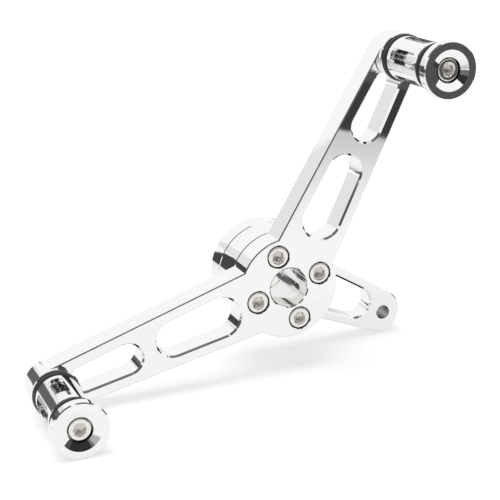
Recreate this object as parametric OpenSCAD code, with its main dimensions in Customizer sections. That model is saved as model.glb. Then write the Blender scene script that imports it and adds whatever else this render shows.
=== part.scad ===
// Heel and toe shift lever for a motorbike with footboards.
// A flat V lever, a hub spacer and a rear rod arm are bolted into one stack around a pivot bore.
// Each end of the V carries a round windowed foot peg, held by one long socket screw.
// The origin is the centre of the pivot bore, half way through the stack. +Y runs along the
// bore, away from the rider's boot, +Z is up, and the pegs stand out towards -Y.

/* [Hub] */
// Radius of the pivot bore, which takes a 19 mm (3/4 inch) shaft
bore_r = 9.525; // [8:0.025:10]
// Radius of the round hub that the three layers share
hub_r = 24.5; // [24:0.1:26]
// Thickness of the lever's plate
lever_t = 14; // [12:0.5:16]
// Thickness of the spacer between the lever and the rod arm
spacer_t = 16.5; // [12:0.5:20]
// Thickness of the rod arm's plate
rod_arm_t = 11.5; // [10:0.5:14]
// Small bevel on the edges of the plates
edge_bevel = 0.5; // [0.3:0.1:1]

/* [Lever arms] */
// Distance from the pivot bore to each peg
arm_len = 120; // [110:1:140]
// Direction of the toe arm, counter-clockwise from +X in the front view
toe_angle = 195; // [190:1:200]
// Direction of the heel arm
heel_angle = 60; // [50:1:70]
// Half width of an arm, as its straight edges would have it at the pivot
arm_root_r = 16.8; // [16:0.1:18]
// Radius of an arm's round end
arm_tip_r = 11; // [10:0.1:12]
// Width of the rail left on each side of a window
rail_w = 5.5; // [5:0.1:6]
// Bevel around the mouths of the windows, wider than the one on the outer edges
window_bevel = 0.9; // [0.5:0.1:1.2]

/* [Rod arm] */
// Direction of the rod arm
rod_angle = -27; // [-35:1:-20]
// Distance from the pivot to the centre of the rod arm's round end
rod_arm_len = 69.5; // [60:0.5:75]
// Distance from the pivot to the shift rod's threaded hole
rod_hole_len = 71.5; // [60:0.5:75]
// Radius of the shift rod's threaded hole, for an M8 ball joint
rod_hole_r = 3.4; // [3:0.05:4]
// Width of the rail on each side of the rod arm's window
rod_rail_w = 4.4; // [4:0.1:5]

/* [Hub bolts] */
// Radius of the circle that the hub bolts lie on
bolt_circle_r = 16.6; // [16:0.1:17]
// Angle of the first hub bolt
bolt_angle = 17; // [0:1:45]
// Number of hub bolts
bolt_count = 4; // [3:1:5]
// Thread radius of the M6 screws
screw_r = 3; // [2.5:0.5:3]
// Head radius of the M6 socket screws
head_r = 5.1; // [4.75:0.05:5.1]
// Head height of the M6 socket screws
head_h = 6; // [5:0.5:6]
// Width across the flats of the screws' hexagon sockets
hex_af = 5; // [4:0.5:5]
// Length of a hub bolt under its head
hub_bolt_len = 35; // [32:1:36]

/* [Foot pegs] */
// Radius of the peg's sleeve
sleeve_r = 10.5; // [10:0.1:11]
// Wall thickness of the sleeve
sleeve_wall = 2; // [1.5:0.1:2.5]
// Length of the sleeve
sleeve_len = 27.9; // [24:0.1:32]
// Radius of the flange that seats on the arm
flange_r = 11.5; // [11:0.1:12]
// Thickness of the flange
flange_t = 2.8; // [2:0.1:4]
// Width of an O-ring as it sits between its seats
ring_w = 3.6; // [3:0.1:4]
// Radius of the cap's rim
cap_r = 12.9; // [12:0.1:14]
// Width of the cap's rim along the peg
cap_rim_w = 5.1; // [4:0.1:6]
// Length of the narrower neck behind the rim
cap_neck_len = 4.5; // [3:0.1:6]
// Radius of the dish in the cap's face
dish_r = 9.2; // [8:0.1:10]
// Depth of the dish
dish_depth = 1.7; // [1:0.1:2]
// Number of windows around a sleeve
window_count = 5; // [3:1:6]
// Length of a window along the peg
window_len = 21.2; // [16:0.2:22]
// Angle that a window spans around the sleeve
window_span = 37; // [30:1:40]
// Angle of one window on the toe peg
toe_window_angle = 100; // [0:1:360]
// Angle of one window on the heel peg
heel_window_angle = 162; // [0:1:360]
// Length of a peg screw under its head
peg_screw_len = 50; // [48:1:52]

/* [Hidden] */
$fn = 96;
eps = 0.01;
side_inset = 0.02;
clearance_r = 3.3;
counterbore_r = 5.6;
counterbore_depth = 6.2;
hex_depth = 3.2;
stack_t = lever_t + spacer_t + rod_arm_t;
front_y = -stack_t / 2;
spacer_y = front_y + lever_t;
rod_arm_y = spacer_y + spacer_t;
peg_ring_y = flange_t;
sleeve_y = peg_ring_y + ring_w;
outer_ring_y = sleeve_y + sleeve_len;
cap_y = outer_ring_y + ring_w;
peg_len = cap_y + cap_neck_len + cap_rim_w;
sleeve_bore_r = sleeve_r - sleeve_wall;
core_fit = 0.03;
core_r = sleeve_bore_r - core_fit;
spigot_r = 6.9;
post_r = 4.6;
core_boss_len = 3.6;
plug_len = 13.3;
post_ring_r = 6;
post_ring_w = 1.5;
head_recess = 2;
cap_socket_r = 5.8;
cap_socket_depth = head_recess + head_h;
window_corner_r = 1.8;

// Point at a distance from the pivot in the front view
function polar(r, angle) = [r * cos(angle), r * sin(angle)];
// Radius that a taper has reached at distance s
function taper_r(root_r, tip_r, length, s) = root_r + (tip_r - root_r) * s / length;
// Angle that each side of a taper leans in towards its axis
function lean(x1, r1, x2, r2) = asin((r1 - r2) / (x2 - x1));

// Turns a shape drawn in X and Y, standing on Z = 0, so that it stands on the plane Y = y
// and grows towards +Y, with its own Y pointing up
module from_front(y = front_y) {
    translate([0, y, 0]) rotate([90, 0, 0]) mirror([0, 0, 1]) children();
}

// Places a peg's piece: its own Z points out of the arm's face, towards the rider's boot
module on_arm(angle) {
    end = polar(arm_len, angle);
    translate([end.x, front_y, end.y]) rotate([90, 0, 0]) children();
}

// Extrudes a profile along both straight sides of a taper whose axis points to angle, and a
// little past the points where they touch its end circles. The profile's X is the way out of the
// taper and its Y the thickness
module along_sides(angle, x1, r1, x2, r2, past) {
    slope = lean(x1, r1, x2, r2);
    run = (x2 - x1) * cos(slope) + 2 * past;
    for (flip = [0, 1]) {
        rotate(angle) mirror([0, flip, 0])
            translate([x1 + r1 * sin(slope) - past * cos(slope), r1 * cos(slope) + past * sin(slope), 0])
            rotate(-slope) rotate([90, 0, 90]) linear_extrude(run) children();
    }
}

// Flat plate between the touching points of a taper's two end circles, its axis at angle. It
// stays a hair inside the circles, so that they cross its sides cleanly
module taper_web(angle, x1, r1, x2, r2, t) {
    slope = lean(x1, r1, x2, r2);
    near = r1 - side_inset;
    far = r2 - side_inset;
    corners = [
        [x1 + near * sin(slope), near * cos(slope)], [x2 + far * sin(slope), far * cos(slope)],
        [x2 + far * sin(slope), -far * cos(slope)], [x1 + near * sin(slope), -near * cos(slope)]
    ];
    linear_extrude(t) polygon([
        for (c = corners) [c.x * cos(angle) - c.y * sin(angle), c.x * sin(angle) + c.y * cos(angle)]
    ]);
}

// Solid disc with bevelled rims
module bevelled_disc(r, t, bevel) {
    rotate_extrude() polygon([
        [0, 0], [r - bevel, 0], [r, bevel], [r, t - bevel], [r - bevel, t], [0, t]
    ]);
}

// Tapered arm with bevelled edges, from the hub to its round end
module tapered_arm(angle, root_r, tip_r, length, t) {
    reach = edge_bevel + side_inset + 1;
    difference() {
        taper_web(angle, 0, root_r, length, tip_r, t);
        along_sides(angle, 0, root_r - side_inset, length, tip_r - side_inset, 2) {
            polygon([[-reach, -1], [1, reach], [1, -1]]);
            polygon([[-reach, t + 1], [1, t - reach], [1, t + 1]]);
        }
    }
    translate(polar(length, angle)) bevelled_disc(tip_r, t, edge_bevel);
}

// Bevel cut around the mouth of a round hole at Z = 0
module mouth_bevel(r, bevel) {
    translate([0, 0, -eps]) cylinder(r1 = r + bevel + eps, r2 = r - eps, h = bevel + 2 * eps);
}

// Cutter for a tapered window through a plate, which also bevels both its mouths
module tapered_window(angle, x1, r1, x2, r2, t) {
    past = 1;
    core = 3;
    flare = window_bevel + past;
    for (end = [[x1, r1], [x2, r2]]) {
        translate(polar(end[0], angle)) rotate_extrude() polygon([
            [0, -past], [end[1] + flare, -past], [end[1], window_bevel],
            [end[1], t - window_bevel], [end[1] + flare, t + past], [0, t + past]
        ]);
    }
    translate([0, 0, -2 * past]) taper_web(angle, x1, r1 - core / 2, x2, r2 - core / 2, t + 4 * past);
    along_sides(angle, x1, r1 - side_inset, x2, r2 - side_inset, 0) polygon([
        [flare, -past], [0, window_bevel], [0, t - window_bevel],
        [flare, t + past], [-core, t + past], [-core, -past]
    ]);
}

// Windows of one lever arm, whose rails keep one width along the arm's taper
module arm_windows(angle) {
    spans = [[36, 60.3], [84, 105.5]];
    for (span = spans) {
        r1 = taper_r(arm_root_r, arm_tip_r, arm_len, span[0]) - rail_w;
        r2 = taper_r(arm_root_r, arm_tip_r, arm_len, span[1]) - rail_w;
        tapered_window(angle, span[0], r1, span[1], r2, lever_t);
    }
}

// Places one thing at each hub bolt
module at_hub_bolts() {
    for (i = [0 : bolt_count - 1]) {
        translate(polar(bolt_circle_r, bolt_angle + i * 360 / bolt_count)) children();
    }
}

// Pivot bore through a layer, with both mouths bevelled
module pivot_bore(t) {
    translate([0, 0, -1]) cylinder(r = bore_r, h = t + 2);
    mouth_bevel(bore_r, edge_bevel);
    translate([0, 0, t]) mirror([0, 0, 1]) mouth_bevel(bore_r, edge_bevel);
}

// Socket head screw, head face at Z = 0 and thread along +Z
module socket_screw(length) {
    head_bevel = 0.5;
    difference() {
        union() {
            rotate_extrude() polygon([
                [0, 0], [head_r - head_bevel, 0], [head_r, head_bevel], [head_r, head_h], [0, head_h]
            ]);
            rotate_extrude() polygon([
                [0, head_h - eps], [screw_r - core_fit, head_h - eps],
                [screw_r - core_fit, head_h + length - 0.8],
                [screw_r - 0.8, head_h + length], [0, head_h + length]
            ]);
        }
        translate([0, 0, -eps]) cylinder(r = hex_af / sqrt(3), h = hex_depth, $fn = 6);
        translate([0, 0, -eps]) cylinder(r1 = hex_af / sqrt(3) + 0.3, r2 = hex_af / 2 - 0.1, h = 0.6);
    }
}

// One-piece V lever, cut from plate
module lever_plate() {
    color("gainsboro") from_front() difference() {
        union() {
            bevelled_disc(hub_r, lever_t, edge_bevel);
            tapered_arm(toe_angle, arm_root_r, arm_tip_r, arm_len, lever_t);
            tapered_arm(heel_angle, arm_root_r, arm_tip_r, arm_len, lever_t);
        }
        pivot_bore(lever_t);
        at_hub_bolts() {
            translate([0, 0, -1]) cylinder(r = clearance_r, h = lever_t + 2);
            translate([0, 0, -1]) cylinder(r = counterbore_r, h = counterbore_depth + 1);
            mouth_bevel(counterbore_r, edge_bevel / 2);
        }
        for (angle = [toe_angle, heel_angle]) {
            arm_windows(angle);
            translate(polar(arm_len, angle)) translate([0, 0, -1])
                cylinder(r = screw_r, h = lever_t + 2);
        }
    }
}

// Round spacer that holds the rod arm clear of the frame rail
module hub_spacer() {
    color("silver") from_front(spacer_y) difference() {
        bevelled_disc(hub_r, spacer_t, edge_bevel);
        pivot_bore(spacer_t);
        at_hub_bolts() translate([0, 0, -1]) cylinder(r = clearance_r, h = spacer_t + 2);
    }
}

// Rear arm that works the shift rod, tapped for the hub bolts and for the rod's ball joint
module shift_rod_arm() {
    window_x1 = 36;
    window_x2 = 54.6;
    window_r1 = taper_r(arm_root_r, arm_tip_r, rod_arm_len, window_x1) - rod_rail_w;
    window_r2 = taper_r(arm_root_r, arm_tip_r, rod_arm_len, window_x2) - rod_rail_w;
    color("gainsboro") from_front(rod_arm_y) difference() {
        union() {
            bevelled_disc(hub_r, rod_arm_t, edge_bevel);
            tapered_arm(rod_angle, arm_root_r, arm_tip_r, rod_arm_len, rod_arm_t);
        }
        pivot_bore(rod_arm_t);
        at_hub_bolts() translate([0, 0, -1]) cylinder(r = screw_r, h = rod_arm_t + 2);
        tapered_window(rod_angle, window_x1, window_r1, window_x2, window_r2, rod_arm_t);
        translate(polar(rod_hole_len, rod_angle)) {
            translate([0, 0, -1]) cylinder(r = rod_hole_r, h = rod_arm_t + 2);
            mouth_bevel(rod_hole_r, edge_bevel / 2);
            translate([0, 0, rod_arm_t]) mirror([0, 0, 1]) mouth_bevel(rod_hole_r, edge_bevel / 2);
        }
    }
}

// The socket screws that clamp the three layers
module hub_bolts() {
    color("darkgray") from_front() at_hub_bolts()
        translate([0, 0, counterbore_depth - head_h]) socket_screw(hub_bolt_len);
}

// Flange washer between the arm and the peg
module peg_flange() {
    color("silver") difference() {
        bevelled_disc(flange_r, flange_t, 0.4);
        translate([0, 0, -1]) cylinder(r = clearance_r, h = flange_t + 2);
    }
}

// O-ring, squeezed flat where it meets its two seats
module o_ring(z) {
    section_r = 2.1;
    squeeze = 0.05;
    color("dimgray") translate([0, 0, z]) rotate_extrude() intersection() {
        translate([spigot_r + section_r, ring_w / 2]) circle(section_r, $fn = 48);
        translate([spigot_r, 0]) square([2 * section_r - squeeze, ring_w]);
    }
}

// Outline of one sleeve window with round corners, X across and Y along the peg
module window_outline(w, h) {
    r = window_corner_r;
    union() {
        translate([-w / 2 + r, -h / 2]) square([w - 2 * r, h]);
        translate([-w / 2, -h / 2 + r]) square([w, h - 2 * r]);
        for (x = [-1, 1]) {
            for (y = [-1, 1]) {
                translate([x * (w / 2 - r), y * (h / 2 - r)]) circle(r, $fn = 32);
            }
        }
    }
}

// Tube sleeve, with a ring of long windows
module peg_sleeve(window_angle) {
    window_w = 2 * sleeve_r * sin(window_span / 2);
    rim = 0.5;
    color("gainsboro") difference() {
        translate([0, 0, sleeve_y]) rotate_extrude() polygon([
            [sleeve_bore_r, 0], [sleeve_r - rim, 0], [sleeve_r, rim],
            [sleeve_r, sleeve_len - rim], [sleeve_r - rim, sleeve_len], [sleeve_bore_r, sleeve_len]
        ]);
        for (i = [0 : window_count - 1]) {
            translate([0, 0, sleeve_y + sleeve_len / 2])
                rotate(window_angle + i * 360 / window_count)
                rotate([90, 0, 90])
                linear_extrude(2 * sleeve_r) window_outline(window_w, window_len);
        }
    }
}

// Turned core that the sleeve and both O-rings sit on, slim behind the windows' inner half
module peg_core() {
    boss_end = sleeve_y + core_boss_len;
    plug_start = outer_ring_y - plug_len;
    ring_mid = (boss_end + plug_start) / 2;
    color("lightgray") rotate_extrude() polygon([
        [clearance_r, flange_t], [spigot_r, flange_t], [spigot_r, sleeve_y],
        [core_r, sleeve_y], [core_r, boss_end], [post_r, boss_end],
        [post_r, ring_mid - post_ring_w / 2], [post_ring_r, ring_mid - post_ring_w / 2],
        [post_ring_r, ring_mid + post_ring_w / 2], [post_r, ring_mid + post_ring_w / 2],
        [post_r, plug_start], [core_r, plug_start], [core_r, outer_ring_y],
        [spigot_r, outer_ring_y], [spigot_r, cap_y], [clearance_r, cap_y]
    ]);
}

// Dished end cap, counterbored for the screw's head
module peg_end_cap() {
    neck_r = 9.6;
    rim_bevel = 0.5;
    seat_z = peg_len - cap_socket_depth;
    rim_z = cap_y + cap_neck_len;
    color("gainsboro") rotate_extrude() polygon([
        [clearance_r, cap_y], [neck_r, cap_y], [neck_r, rim_z],
        [cap_r - rim_bevel, rim_z], [cap_r, rim_z + rim_bevel],
        [cap_r, peg_len - rim_bevel], [cap_r - rim_bevel, peg_len],
        [dish_r, peg_len], [cap_socket_r, peg_len - dish_depth],
        [cap_socket_r, seat_z], [clearance_r, seat_z]
    ]);
}

// Long socket screw that clamps a whole peg to its arm
module peg_screw() {
    color("darkgray") translate([0, 0, peg_len - head_recess])
        mirror([0, 0, 1]) socket_screw(peg_screw_len);
}

lever_plate();
hub_spacer();
shift_rod_arm();
hub_bolts();
on_arm(toe_angle) peg_flange();  // toe_flange
on_arm(toe_angle) o_ring(peg_ring_y);  // toe_inner_o_ring
on_arm(toe_angle) peg_sleeve(toe_window_angle);  // toe_sleeve
on_arm(toe_angle) peg_core();  // toe_core
on_arm(toe_angle) o_ring(outer_ring_y);  // toe_outer_o_ring
on_arm(toe_angle) peg_end_cap();  // toe_end_cap
on_arm(toe_angle) peg_screw();  // toe_peg_screw
on_arm(heel_angle) peg_flange();  // heel_flange
on_arm(heel_angle) o_ring(peg_ring_y);  // heel_inner_o_ring
on_arm(heel_angle) peg_sleeve(heel_window_angle);  // heel_sleeve
on_arm(heel_angle) peg_core();  // heel_core
on_arm(heel_angle) o_ring(outer_ring_y);  // heel_outer_o_ring
on_arm(heel_angle) peg_end_cap();  // heel_end_cap
on_arm(heel_angle) peg_screw();  // heel_peg_screw
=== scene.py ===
# Heel and toe shift lever, chromed, with two windowed foot pegs
import math

import bmesh
import bpy
from mathutils import Matrix, Quaternion, Vector


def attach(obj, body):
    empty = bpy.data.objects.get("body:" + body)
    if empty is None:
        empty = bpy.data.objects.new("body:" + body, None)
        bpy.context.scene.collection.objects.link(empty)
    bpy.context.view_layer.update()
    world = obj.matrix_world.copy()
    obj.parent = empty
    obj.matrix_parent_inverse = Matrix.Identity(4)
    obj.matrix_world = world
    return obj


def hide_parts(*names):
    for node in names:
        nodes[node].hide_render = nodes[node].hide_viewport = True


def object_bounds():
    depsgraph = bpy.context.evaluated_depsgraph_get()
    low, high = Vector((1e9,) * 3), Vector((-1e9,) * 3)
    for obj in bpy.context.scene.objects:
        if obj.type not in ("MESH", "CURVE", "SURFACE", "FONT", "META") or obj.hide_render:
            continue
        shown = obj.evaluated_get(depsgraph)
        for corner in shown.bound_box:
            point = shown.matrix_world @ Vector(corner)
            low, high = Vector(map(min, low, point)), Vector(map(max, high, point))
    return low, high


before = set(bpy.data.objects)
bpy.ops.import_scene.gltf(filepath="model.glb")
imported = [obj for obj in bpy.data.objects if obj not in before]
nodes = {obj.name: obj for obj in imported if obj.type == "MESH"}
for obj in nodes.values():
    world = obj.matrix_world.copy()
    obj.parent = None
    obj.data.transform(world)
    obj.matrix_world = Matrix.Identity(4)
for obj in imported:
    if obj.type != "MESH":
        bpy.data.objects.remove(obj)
cad_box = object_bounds()

# Camera
# A long lens looks down at the hub from the front left, as the photograph was taken. A slight
# roll lays the two arms at the angles that they have there.
camera_place = Vector((-0.22977, -0.58820, 0.20513))
camera_aim = Vector((-0.01121, 0.0, 0.01478))
camera_roll = math.radians(-2.569)
lens = bpy.data.cameras.new("camera")
lens.lens = 98.1
lens.sensor_width = 36.0
lens.clip_start = 0.01
lens.clip_end = 50.0
camera = bpy.data.objects.new("camera", lens)
camera.location = camera_place
camera.rotation_mode = "QUATERNION"
track = (camera_aim - camera_place).to_track_quat("-Z", "Y")
camera.rotation_quaternion = track @ Quaternion((0.0, 0.0, 1.0), camera_roll)
bpy.context.scene.collection.objects.link(camera)
bpy.context.scene.camera = camera

# Table top and room
# The lever lies on a white table that ends a little to the right of it. Beyond that edge the
# room is dark. The room's plain panels show only as reflections in the chrome.
table_z = cad_box[0].z - 0.0001
panel_z = table_z + 0.0005
table_reach = 8.0
table_tone = 0.5
table_glow_seen = 0.585
table_glow_mirrored = 0.465
edge_start_x = 0.265
edge_start_y = -0.49
edge_slope = 0.25
zone_left_x = -2.5
near_y = 0.12


class Value:
    """A shader socket that can be written into sums and products."""

    def __init__(self, tree, socket):
        self.tree = tree
        self.socket = socket

    def node(self, kind, settings=None, inputs=None, output=0):
        """Adds a node, whose inputs are plain values or other Values. Stops are a colour ramp's."""
        made = self.tree.nodes.new(kind)
        for name, setting in (settings or {}).items():
            if name == "stops":
                ramp = made.color_ramp
                while len(ramp.elements) < len(setting):
                    ramp.elements.new(1.0)
                for element, (place, colour) in zip(ramp.elements, setting):
                    element.position = place
                    element.color = colour
            else:
                setattr(made, name, setting)
        for key, value in (inputs or {}).items():
            if isinstance(value, Value):
                self.tree.links.new(value.socket, made.inputs[key])
            else:
                made.inputs[key].default_value = value
        return Value(self.tree, made.outputs[output])

    def maths(self, operation, *values):
        return self.node("ShaderNodeMath", {"operation": operation}, dict(enumerate(values)))

    def __add__(self, other):
        return self.maths("ADD", self, other)

    def __radd__(self, other):
        return self.maths("ADD", other, self)

    def __sub__(self, other):
        return self.maths("SUBTRACT", self, other)

    def __rsub__(self, other):
        return self.maths("SUBTRACT", other, self)

    def __mul__(self, other):
        return self.maths("MULTIPLY", self, other)

    def __rmul__(self, other):
        return self.maths("MULTIPLY", other, self)

    def __truediv__(self, other):
        return self.maths("DIVIDE", self, other)

    def into(self, node, name):
        self.tree.links.new(self.socket, node.inputs[name])


def new_material(name):
    material = bpy.data.materials.new(name)
    material.use_nodes = True
    tree = material.node_tree
    shader = tree.nodes["Principled BSDF"]
    place = Value(tree, tree.nodes.new("ShaderNodeTexCoord").outputs["Object"])
    return material, shader, place


def sheet_object(name, corners, material):
    mesh = bpy.data.meshes.new(name)
    mesh.from_pydata([tuple(c) for c in corners], [], [tuple(range(len(corners)))])
    mesh.materials.append(material)
    made = bpy.data.objects.new(name, mesh)
    bpy.context.scene.collection.objects.link(made)
    return made


def grey(value):
    return (value, value, value, 1.0)


table_paint, table_shader = new_material("white_table")[:2]
table_shader.inputs["Base Color"].default_value = grey(table_tone)
table_shader.inputs["Roughness"].default_value = 0.7
table_shader.inputs["Specular IOR Level"].default_value = 0.1
table_shader.inputs["Emission Strength"].default_value = 1.0
rays = table_paint.node_tree.nodes.new("ShaderNodeLightPath")
seen = Value(table_paint.node_tree, rays.outputs["Is Camera Ray"])
mirrored = Value(table_paint.node_tree, rays.outputs["Is Glossy Ray"])
lift = table_glow_seen * seen + table_glow_mirrored * mirrored
lift_colour = lift.node("ShaderNodeCombineColor", {}, {"Red": lift, "Green": lift, "Blue": lift})
lift_colour.into(table_shader, "Emission Color")
table_corners = [
    (-table_reach, -table_reach, table_z),
    (table_reach, -table_reach, table_z),
    (table_reach, table_reach, table_z),
    (-table_reach, table_reach, table_z),
]
sheet_object("table_top", table_corners, table_paint)


def room_panel(name, corners, shade, fade=None):
    """A glowing sheet that only reflections see. A fade is (distance from the origin, shade) stops."""
    material = bpy.data.materials.new(name)
    material.use_nodes = True
    tree = material.node_tree
    tree.nodes.clear()
    glow = tree.nodes.new("ShaderNodeEmission")
    glow.inputs["Color"].default_value = grey(shade)
    if fade:
        place = Value(tree, tree.nodes.new("ShaderNodeTexCoord").outputs["Object"])
        away = place.node("ShaderNodeVectorMath", {"operation": "LENGTH"}, {0: place}, output=1)
        stops = [(distance, grey(value)) for distance, value in fade]
        place.node("ShaderNodeValToRGB", {"stops": stops}, {"Fac": away}).into(glow, "Color")
    output = tree.nodes.new("ShaderNodeOutputMaterial")
    tree.links.new(glow.outputs["Emission"], output.inputs["Surface"])
    panel = sheet_object(name, corners, material)
    panel.visible_camera = False
    panel.visible_diffuse = False
    panel.visible_shadow = False
    panel.visible_transmission = False
    return panel


def upright(x1, y1, x2, y2, z1, z2):
    """Corners of a panel that stands from (x1, y1) to (x2, y2), between the heights z1 and z2."""
    return [(x1, y1, z1), (x2, y2, z1), (x2, y2, z2), (x1, y1, z2)]


def edge_x(y):
    """Where the table's right edge is at this depth."""
    return edge_start_x + edge_slope * (y - edge_start_y)


def table_zone(y1, y2):
    return [
        (zone_left_x, y1, panel_z),
        (edge_x(y1), y1, panel_z),
        (edge_x(y2), y2, panel_z),
        (zone_left_x, y2, panel_z),
    ]


def beyond_edge(offset_1, offset_2, y1, y2):
    return [
        (edge_x(y1) + offset_1, y1, panel_z),
        (edge_x(y1) + offset_2, y1, panel_z),
        (edge_x(y2) + offset_2, y2, panel_z),
        (edge_x(y2) + offset_1, y2, panel_z),
    ]


# The table as the chrome mirrors it, darker farther away, with its dark edge and the floor
front_fade = [
    (0.0, 0.99),
    (0.24, 0.98),
    (0.31, 0.93),
    (0.37, 0.87),
    (0.44, 0.78),
    (0.48, 0.71),
    (0.53, 0.64),
    (0.75, 0.55),
]
room_panel("table_front", table_zone(-1.1, -near_y), 0.9, front_fade)
room_panel("table_edge", beyond_edge(0.0, 0.17, -2.0, 2.0), 0.045)
room_panel("floor_beyond", beyond_edge(0.17, 2.0, -2.0, 2.0), 0.085)
back_fade = [(0.0, 0.99), (0.25, 0.94), (0.40, 0.84), (0.60, 0.66), (0.80, 0.50)]
room_panel("table_back", table_zone(near_y, 1.6), 0.9, back_fade)

# Dark walls and stands round the table
room_panel("back_wall", upright(-0.26, 1.5, -0.04, 1.5, 0.0, 0.36), 0.12)
room_panel("back_right_wall", upright(0.98, 1.3, 2.2, 0.8, table_z, 0.34), 0.10)
room_panel("back_left_wall", upright(-1.3, 1.1, -1.5, 0.35, table_z, 0.42), 0.12)
room_panel("front_wall", upright(-0.42, -1.4, 1.5, -1.4, table_z, 0.80), 0.03)
room_panel("front_wall_left", upright(-0.60, -1.4, -0.42, -1.4, table_z, 0.66), 0.16)
room_panel("front_screen_left", upright(-0.98, -1.4, -0.60, -1.4, table_z, 0.66), 0.45)
room_panel("right_wall", upright(1.1, -1.4, 1.1, 0.5, table_z, 0.30), 0.08)
room_panel("left_stand", upright(-0.95, -0.62, -1.0, -0.45, table_z, 0.75), 0.10)

# Panels at the back left, for the dark bands on the heel peg, the hub, its bore and the toe arm
room_panel("back_left_panel", upright(-0.80, 0.84, -0.50, 0.93, table_z, 0.19), 0.07)
room_panel("back_left_screen", upright(-0.70, 0.86, -0.37, 0.96, 0.19, 0.44), 0.82)
hub_screen_y = 0.35
near_screen_corners = [
    (-0.243, hub_screen_y, -0.035),
    (-0.172, hub_screen_y, -0.035),
    (-0.178, hub_screen_y, 0.075),
    (-0.243, hub_screen_y, 0.082),
]
room_panel("near_screen", near_screen_corners, 0.06)
bore_screen_y = 0.20
bore_screen_corners = [
    (-0.104, bore_screen_y, 0.0),
    (-0.077, bore_screen_y, 0.0),
    (-0.077, bore_screen_y, 0.05),
    (-0.088, bore_screen_y, 0.05),
    (-0.104, bore_screen_y, 0.018),
]
room_panel("bore_screen", bore_screen_corners, 0.13)
room_panel("low_screen", upright(-0.318, 0.345, -0.245, 0.355, table_z, 0.095), 0.13)

# Beams overhead, for the thin dark lines along the bevels
beam_z = 1.0
left_beam_end_z = 0.72
left_beam_corners = [
    (-0.30, -0.60, beam_z),
    (-0.30, -0.42, beam_z),
    (-0.97, -0.45, left_beam_end_z),
    (-0.97, -0.68, left_beam_end_z),
]
room_panel("left_beam", left_beam_corners, 0.13)
ceiling_rail_corners = [
    (-1.2, -0.52, beam_z),
    (1.2, -0.52, beam_z),
    (1.2, -0.36, beam_z),
    (-1.2, -0.36, beam_z),
]
room_panel("ceiling_rail", ceiling_rail_corners, 0.18)

# The white room's own light, brighter to the camera and in reflections than on the lever
room_light = 0.35
room_light_seen = 0.65
room_light_mirrored = 0.64
world = bpy.data.worlds.new("white_room")
bpy.context.scene.world = world
world.use_nodes = True
sky = world.node_tree.nodes["Background"]
sky.inputs["Color"].default_value = grey(1.0)
world_rays = world.node_tree.nodes.new("ShaderNodeLightPath")
world_seen = Value(world.node_tree, world_rays.outputs["Is Camera Ray"])
world_mirrored = Value(world.node_tree, world_rays.outputs["Is Glossy Ray"])
brightness = room_light + room_light_seen * world_seen + room_light_mirrored * world_mirrored
brightness.into(sky, "Strength")

lamp_data = bpy.data.lights.new("soft_overhead", "SUN")
lamp_data.energy = 2.0
lamp_data.angle = math.radians(50.0)
lamp = bpy.data.objects.new("soft_overhead", lamp_data)
lamp.location = (-0.18, -0.12, 1.5)
lamp.rotation_mode = "QUATERNION"
lamp.rotation_quaternion = (-Vector(lamp.location)).to_track_quat("-Z", "Y")
lamp.visible_glossy = False
bpy.context.scene.collection.objects.link(lamp)
bpy.context.scene.view_settings.view_transform = "Standard"

# Lever plate
# One V cut from metal plate, with bevelled edges and tapered windows, then polished by hand
# and chromed all over. Four counterbores round the pivot bore take the heads of the hub bolts.
chrome_tint = (0.93, 0.93, 0.927, 1.0)
chrome_polish = 0.008
chrome_haze = 0.03
chrome_relief = 0.0006
chrome_ripple = 0.06
chrome_grain = 0.0015
thread_relief = 0.5
no_thread = 0.0
# Inside the pivot bore the chrome is painted a little darker, as painted shade in the bore.
bore_painted_shade = (0.84, 0.835, 0.82, 1.0)
bored_roughness = 0.025
pivot_bore_reach = 0.00958
# Inside the counterbores and the caps' screw sockets the chrome is painted darker, as painted shade in the
# gap round each screw head.
recess_painted_shade = (0.66, 0.65, 0.63, 1.0)
counterbore_roughness = 0.15
counterbore_reach = 0.00562
bolt_circle_r = 0.0166
bolt_angle = math.radians(17.0)
bolt_turns = [bolt_angle + i * math.pi / 2.0 for i in range(4)]
bolt_axes = [(bolt_circle_r * math.cos(turn), bolt_circle_r * math.sin(turn)) for turn in bolt_turns]
arm_len = 0.120
arm_angles = {"toe": math.radians(195.0), "heel": math.radians(60.0)}
peg_axes = {end: (arm_len * math.cos(turn), arm_len * math.sin(turn)) for end, turn in arm_angles.items()}


def inside_round(place, axes, radius):
    """1 nearer than radius to any of these axes, which run along Y, and 0 elsewhere."""
    total = None
    for x, z in axes:
        across = place.node("ShaderNodeVectorMath", {"operation": "SUBTRACT"}, {0: place, 1: (x, 0.0, z)})
        flat_inputs = {0: across, 1: (1.0, 0.0, 1.0)}
        flat = place.node("ShaderNodeVectorMath", {"operation": "MULTIPLY"}, flat_inputs)
        away = place.node("ShaderNodeVectorMath", {"operation": "LENGTH"}, {0: flat}, output=1)
        near = away.maths("LESS_THAN", away, radius)
        total = near if total is None else total + near
    return total


def blend_colours(mask, outside, inside):
    mix_inputs = {"Factor": mask, 6: outside, 7: inside}
    return mask.node("ShaderNodeMix", {"data_type": "RGBA"}, mix_inputs, output=2)


def along_axis(place, number):
    """How far along X, Y or Z (0, 1 or 2) a point lies."""
    return place.node("ShaderNodeSeparateXYZ", {}, {"Vector": place}, output=number)


def mottle(place, scale, detail):
    return place.node("ShaderNodeTexNoise", {}, {"Vector": place, "Scale": scale, "Detail": detail})


def raised(place, strength, distance, height, shader):
    """Gives the finish a relief of this height."""
    surface = place.node("ShaderNodeBump", {}, {"Strength": strength, "Distance": distance, "Height": height})
    surface.into(shader, "Normal")


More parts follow.
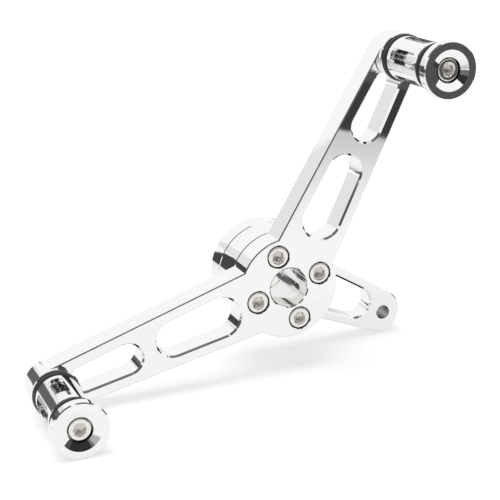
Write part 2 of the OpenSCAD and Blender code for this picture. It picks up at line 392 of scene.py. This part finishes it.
def chrome_finish(name, holes=()):
    """Polished chrome. Each hole is (axes, reach, colour of painted shade inside it, added roughness, thread
    pitch or 0).
    """
    material, shader, place = new_material(name)
    shader.inputs["Metallic"].default_value = 1.0
    shader.inputs["Base Color"].default_value = chrome_tint
    haze_look = {"Vector": place, "Scale": 120.0, "Detail": 4.0, "Roughness": 0.62}
    haze = place.node("ShaderNodeTexNoise", {}, haze_look)
    wiped = mottle(place, 25.0, 2.0)
    roughness = chrome_polish + chrome_haze * haze + chrome_haze * haze * wiped
    height = chrome_ripple * mottle(place, 70.0, 1.0) + chrome_grain * mottle(place, 2500.0, 2.0)
    colour = chrome_tint
    for axes, reach, hole_painted_shade, added, pitch in holes:
        mask = inside_round(place, axes, reach)
        colour = blend_colours(mask, colour, hole_painted_shade)
        roughness = roughness + added * mask
        if pitch:
            along = along_axis(place, 1)
            turns = along.maths("PINGPONG", along, pitch / 2.0) / (pitch / 2.0)
            height = height + thread_relief * mask * turns
    if holes:
        colour.into(shader, "Base Color")
    roughness.into(shader, "Roughness")
    raised(place, 1.0, chrome_relief, height, shader)
    return material


def paint(node_name, material):
    piece = nodes[node_name]
    piece.data.materials.clear()
    piece.data.materials.append(material)


# Painted shade inside the pivot bore and the counterbores
pivot_bore = ([(0.0, 0.0)], pivot_bore_reach, bore_painted_shade, bored_roughness, no_thread)
counterbores = (bolt_axes, counterbore_reach, recess_painted_shade, counterbore_roughness, no_thread)
paint("lever_plate", chrome_finish("lever_chrome", [pivot_bore, counterbores]))

# Hub spacer
# A turned disc of the same metal that fills the gap between the lever plate and the rod arm.
# The four hub bolts pass through it and clamp it.
paint("hub_spacer", chrome_finish("spacer_chrome", [pivot_bore]))

# Shift rod arm
# Thinner plate arm behind the spacer. The hub bolts thread into it, and the hole at its tip is
# tapped for the ball joint of the shift rod.
rod_hole_axis = (0.063707, -0.032460)
rod_hole_reach = 0.00362
# The tapped hole is painted darker, as painted shade inside it.
rod_hole_painted_shade = (0.50, 0.49, 0.48, 1.0)
rod_hole_roughness = 0.06
rod_thread_pitch = 0.00125
rod_hole = ([rod_hole_axis], rod_hole_reach, rod_hole_painted_shade, rod_hole_roughness, rod_thread_pitch)
paint("shift_rod_arm", chrome_finish("rod_arm_chrome", [pivot_bore, rod_hole]))

# Hub bolts
# Four M6 socket screws of stainless steel, with knurled heads sunk into the lever's face. Their
# threads end just inside the back of the rod arm.
head_r = 0.0051
head_h = 0.006
head_bevel = 0.0005
head_under_edge = 0.0003
head_neck_share = 0.8
knurl_depth = 0.00014
knurl_teeth = 60
knurl_lead = 0.0002
knurl_root = 0.00006
socket_flat = 0.0025
socket_depth = 0.0031
socket_chamfer = 0.0003
socket_mouth = 0.00022
socket_lip_depth = 0.00004
socket_wall_from = 0.00035
socket_draft = 0.00002
socket_drill_edge = 0.0005
socket_drill_gap = 0.00012
socket_drill_r = 0.0003
socket_reach = 0.00294
thread_r = 0.00297
thread_depth = 0.00055
thread_pitch = 0.001
thread_sides = 32
thread_steps = 8
thread_root = 1.35
thread_flank = 3.4
thread_overlap = 0.0004
thread_run_in = 0.001
thread_end_taper = 0.0007
steel_roughness = 0.17
steel_smudge = 0.06
socket_roughness = 0.16
screw_metal = (0.87, 0.85, 0.81, 1.0)
# Inside the hex sockets the steel is painted darker, as painted shade in the sockets.
socket_painted_shade = (0.76, 0.74, 0.69, 1.0)
bolt_face_y = -0.0208
hub_bolt_len = 0.035
smooth_below = 38.0


def hexagon_r(flat, angle):
    return flat / math.cos((angle % (math.pi / 3.0)) - math.pi / 6.0)


def loft(mesh, rings, cap_first, cap_last):
    made = [[mesh.verts.new(point) for point in ring] for ring in rings]
    for near, far in zip(made, made[1:]):
        for i in range(len(near)):
            j = (i + 1) % len(near)
            mesh.faces.new((near[i], near[j], far[j], far[i]))
    if cap_first:
        mesh.faces.new(list(reversed(made[0])))
    if cap_last:
        mesh.faces.new(made[-1])


def socket_screw_mesh(name, length):
    """Screw along +Y, with its head's face at Y = 0."""
    mesh = bmesh.new()
    sides = 2 * knurl_teeth

    def ring(y, radius):
        angles = [2 * math.pi * i / sides for i in range(sides)]
        return [(radius(i) * math.cos(a), y, radius(i) * math.sin(a)) for i, a in enumerate(angles)]

    def knurled(i):
        return head_r - knurl_depth * (i % 2)

    def hexagon(flat):
        return lambda i: hexagon_r(flat, 2 * math.pi * i / sides)

    def round_at(radius):
        return lambda i: radius

    corner_r = socket_flat / math.cos(math.pi / 6.0)
    rings = [
        ring(head_h, round_at(thread_r * head_neck_share)),
        ring(head_h, round_at(head_r - head_under_edge)),
        ring(head_h - knurl_lead, knurled),
        ring(head_bevel + knurl_lead, knurled),
        ring(head_bevel, round_at(head_r - knurl_root)),
        ring(head_bevel * 0.45, round_at(head_r - head_bevel * 0.32)),
        ring(head_bevel * 0.12, round_at(head_r - head_bevel * 0.72)),
        ring(0.0, round_at(head_r - head_bevel * 1.15)),
        ring(0.0, round_at(corner_r + socket_chamfer)),
        ring(socket_lip_depth, round_at(corner_r + socket_mouth)),
        ring(socket_wall_from, hexagon(socket_flat)),
        ring(socket_wall_from + 0.0001, hexagon(socket_flat - socket_draft)),
        ring(socket_depth - socket_drill_edge - 0.0001, hexagon(socket_flat - socket_draft)),
        ring(socket_depth - socket_drill_edge, round_at(socket_flat - socket_drill_gap)),
        ring(socket_depth, round_at(socket_drill_r)),
    ]
    loft(mesh, rings, True, True)
    turns = []
    start = head_h - thread_overlap
    count = int(round((length + thread_overlap) / thread_pitch * thread_steps))
    for k in range(count + 1):
        y = start + (length + thread_overlap) * k / count
        left = head_h + length - y
        taper = max(0.0, thread_end_taper - left)
        run_in = min(1.0, max(0.0, (y - head_h - thread_overlap) / thread_run_in))
        points = []
        for i in range(thread_sides):
            angle = 2 * math.pi * i / thread_sides
            phase = (y / thread_pitch + i / thread_sides) % 1.0
            cut = min(1.0, max(0.0, thread_root - abs(phase - 0.5) * thread_flank)) * run_in
            radius = min(thread_r - thread_depth * cut, thread_r - taper)
            points.append((radius * math.cos(angle), y, radius * math.sin(angle)))
        turns.append(points)
    loft(mesh, turns, True, True)
    bmesh.ops.recalc_face_normals(mesh, faces=mesh.faces)
    built = bpy.data.meshes.new(name)
    mesh.to_mesh(built)
    mesh.free()
    return built


steel, steel_shader, steel_place = new_material("screw_steel")
steel_shader.inputs["Metallic"].default_value = 1.0
# Painted shade and added roughness inside each hex socket
in_socket = inside_round(steel_place, bolt_axes + list(peg_axes.values()), socket_reach)
blend_colours(in_socket, screw_metal, socket_painted_shade).into(steel_shader, "Base Color")
smudge = mottle(steel_place, 900.0, 3.0)
(steel_roughness + steel_smudge * smudge + socket_roughness * in_socket).into(steel_shader, "Roughness")
raised(steel_place, 0.10, 0.00003, mottle(steel_place, 2200.0, 2.0), steel_shader)


def bolt_ring_tree():
    """Copies one screw round the bolt circle, each one stopped at its own turn."""
    tree = bpy.data.node_groups.new("bolt_ring", "GeometryNodeTree")
    face = tree.interface
    face.new_socket("Screw", in_out="INPUT", socket_type="NodeSocketGeometry")
    for title, kind in (
        ("Circle radius", "NodeSocketFloat"),
        ("First angle", "NodeSocketFloat"),
        ("Face depth", "NodeSocketFloat"),
        ("Count", "NodeSocketInt"),
        ("Finish", "NodeSocketMaterial"),
    ):
        face.new_socket(title, in_out="INPUT", socket_type=kind)
    face.new_socket("Screws", in_out="OUTPUT", socket_type="NodeSocketGeometry")
    given = tree.nodes.new("NodeGroupInput").outputs
    outputs = tree.nodes.new("NodeGroupOutput")

    def step(kind, links=None, values=None, settings=None):
        made = tree.nodes.new(kind)
        for key, value in (settings or {}).items():
            setattr(made, key, value)
        for key, value in (values or {}).items():
            made.inputs[key].default_value = value
        for key, source in (links or {}).items():
            tree.links.new(source, made.inputs[key])
        return made

    circle_links = {"Vertices": given["Count"], "Radius": given["Circle radius"]}
    circle = step("GeometryNodeMeshCircle", circle_links, None, {"fill_type": "NONE"})
    negative = step("ShaderNodeMath", {0: given["First angle"]}, {1: -1.0}, {"operation": "MULTIPLY"})
    turn = step("ShaderNodeCombineXYZ", {"Y": negative.outputs[0]}, {"X": math.pi / 2.0})
    depth = step("ShaderNodeCombineXYZ", {"Y": given["Face depth"]})
    place_links = {
        "Geometry": circle.outputs["Mesh"],
        "Translation": depth.outputs[0],
        "Rotation": turn.outputs[0],
    }
    place = step("GeometryNodeTransform", place_links)
    spin = step("FunctionNodeRandomValue", None, {"Seed": 7}, {"data_type": "FLOAT"})
    spin.inputs[2].default_value = 0.0
    spin.inputs[3].default_value = math.pi / 3.0
    about = step("ShaderNodeCombineXYZ", {"Y": spin.outputs[1]})
    rotation = step("FunctionNodeEulerToRotation", {"Euler": about.outputs[0]})
    copy_links = {
        "Points": place.outputs[0],
        "Instance": given["Screw"],
        "Rotation": rotation.outputs[0],
    }
    copies = step("GeometryNodeInstanceOnPoints", copy_links)
    real = step("GeometryNodeRealizeInstances", {"Geometry": copies.outputs[0]})
    finish = step("GeometryNodeSetMaterial", {"Geometry": real.outputs[0], "Material": given["Finish"]})
    tree.links.new(finish.outputs[0], outputs.inputs["Screws"])
    return tree


def shade_by_angle(piece, degrees):
    piece.data.polygons.foreach_set("use_smooth", [True] * len(piece.data.polygons))
    piece.data.set_sharp_from_angle(angle=math.radians(degrees))


seed_screw = bpy.data.objects.new("hub_bolt_seed", socket_screw_mesh("hub_bolt_seed", hub_bolt_len))
bpy.context.scene.collection.objects.link(seed_screw)
ring_tree = bolt_ring_tree()
ring_step = seed_screw.modifiers.new("bolt_ring", "NODES")
ring_step.node_group = ring_tree
ring_values = {
    "Circle radius": bolt_circle_r,
    "First angle": bolt_angle,
    "Face depth": bolt_face_y,
    "Count": len(bolt_axes),
    "Finish": steel,
}
for item in ring_tree.interface.items_tree:
    if item.in_out == "INPUT" and item.name in ring_values:
        ring_step[item.identifier] = ring_values[item.name]
evaluated = seed_screw.evaluated_get(bpy.context.evaluated_depsgraph_get())
bolts = bpy.data.objects.new("hub_bolt_set", bpy.data.meshes.new_from_object(evaluated))
bpy.data.objects.remove(seed_screw)
bpy.context.scene.collection.objects.link(bolts)
shade_by_angle(bolts, smooth_below)
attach(bolts, "root")
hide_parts("hub_bolts")

# Foot pegs
# Each peg is a stack on one long screw: a flange, a rubber ring, a chromed sleeve with five
# windows over a turned core, a second rubber ring and a dished cap.
peg_screw_y = -0.06650
peg_screw_len = 0.050
sleeve_bore_reach = 0.00856
# The sleeve's bore is painted a duller grey, as painted shade inside the sleeve.
sleeve_bore_painted_shade = (0.80, 0.80, 0.80, 1.0)
sleeve_bore_roughness = 0.45
cap_socket_reach = 0.00582
core_polish = 0.04
core_haze = 0.06
core_metal = (0.88, 0.88, 0.877, 1.0)
post_reach = 0.00585
# The post is painted dark as shade inside the sleeve, except for bands of painted highlight at these angles
# in degrees from each window's middle.
post_painted_shade = (0.27, 0.27, 0.272, 1.0)
post_roughness = 0.30
post_highlight_from = 9.0
post_highlight_to = 20.0
window_step = 72.0
window_angles = {"toe": 100.0, "heel": 162.0}
lathe_line = 0.0001
rubber, rubber_shader, rubber_place = new_material("o_ring_rubber")
rubber_shader.inputs["Base Color"].default_value = (0.010, 0.010, 0.011, 1.0)
rubber_shader.inputs["Roughness"].default_value = 0.42
raised(rubber_place, 0.35, 0.00004, mottle(rubber_place, 1800.0, 3.0), rubber_shader)


def turned_core(name, axis, window_angle):
    """Polished core. Its post is dull and painted dark, as painted shade inside the sleeve, with a painted
    highlight in a band to each side of a window's middle.
    """
    material, shader, place = new_material(name)
    shader.inputs["Metallic"].default_value = 1.0
    post = inside_round(place, [axis], post_reach)
    x = along_axis(place, 0) - axis[0]
    z = along_axis(place, 2) - axis[1]
    turn = (x.maths("ARCTAN2", z, x) - math.radians(window_angle)) / math.radians(window_step)
    aside = turn.maths("PINGPONG", turn, 0.5) * window_step
    after = aside.maths("GREATER_THAN", aside, post_highlight_from)
    # Painted highlight in bands beside each window's middle, on the post's painted shade
    painted_highlight = after * aside.maths("LESS_THAN", aside, post_highlight_to)
    blend_colours(post * (1.0 - painted_highlight), core_metal, post_painted_shade).into(shader, "Base Color")
    roughness = core_polish + core_haze * mottle(place, 300.0, 3.0) + post_roughness * post
    roughness.into(shader, "Roughness")
    along = along_axis(place, 1)
    turning = along.maths("PINGPONG", along, lathe_line) / lathe_line
    raised(place, 0.06, 0.00003, turning, shader)
    return material


for end, axis in peg_axes.items():
    # Painted shade inside the sleeve's bore and in the cap's socket round the screw head
    sleeve_bore = ([axis], sleeve_bore_reach, sleeve_bore_painted_shade, sleeve_bore_roughness, no_thread)
    cap_socket = ([axis], cap_socket_reach, recess_painted_shade, counterbore_roughness, no_thread)
    paint(end + "_flange", chrome_finish(end + "_flange_chrome"))
    paint(end + "_sleeve", chrome_finish(end + "_sleeve_chrome", [sleeve_bore]))
    paint(end + "_core", turned_core(end + "_core_steel", axis, window_angles[end]))
    paint(end + "_end_cap", chrome_finish(end + "_cap_chrome", [cap_socket]))
    for part in ("inner_o_ring", "outer_o_ring"):
        paint(end + "_" + part, rubber)
    screw_mesh = socket_screw_mesh(end + "_long_screw", peg_screw_len)
    screw = bpy.data.objects.new(end + "_long_screw", screw_mesh)
    screw.data.materials.append(steel)
    screw_turn = Matrix.Rotation(arm_angles[end] / 3.0, 4, "Y")
    screw_place = Matrix.Translation((axis[0], peg_screw_y, axis[1]))
    screw.data.transform(screw_place @ screw_turn)
    bpy.context.scene.collection.objects.link(screw)
    shade_by_angle(screw, smooth_below)
    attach(screw, "root")
    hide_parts(end + "_peg_screw")
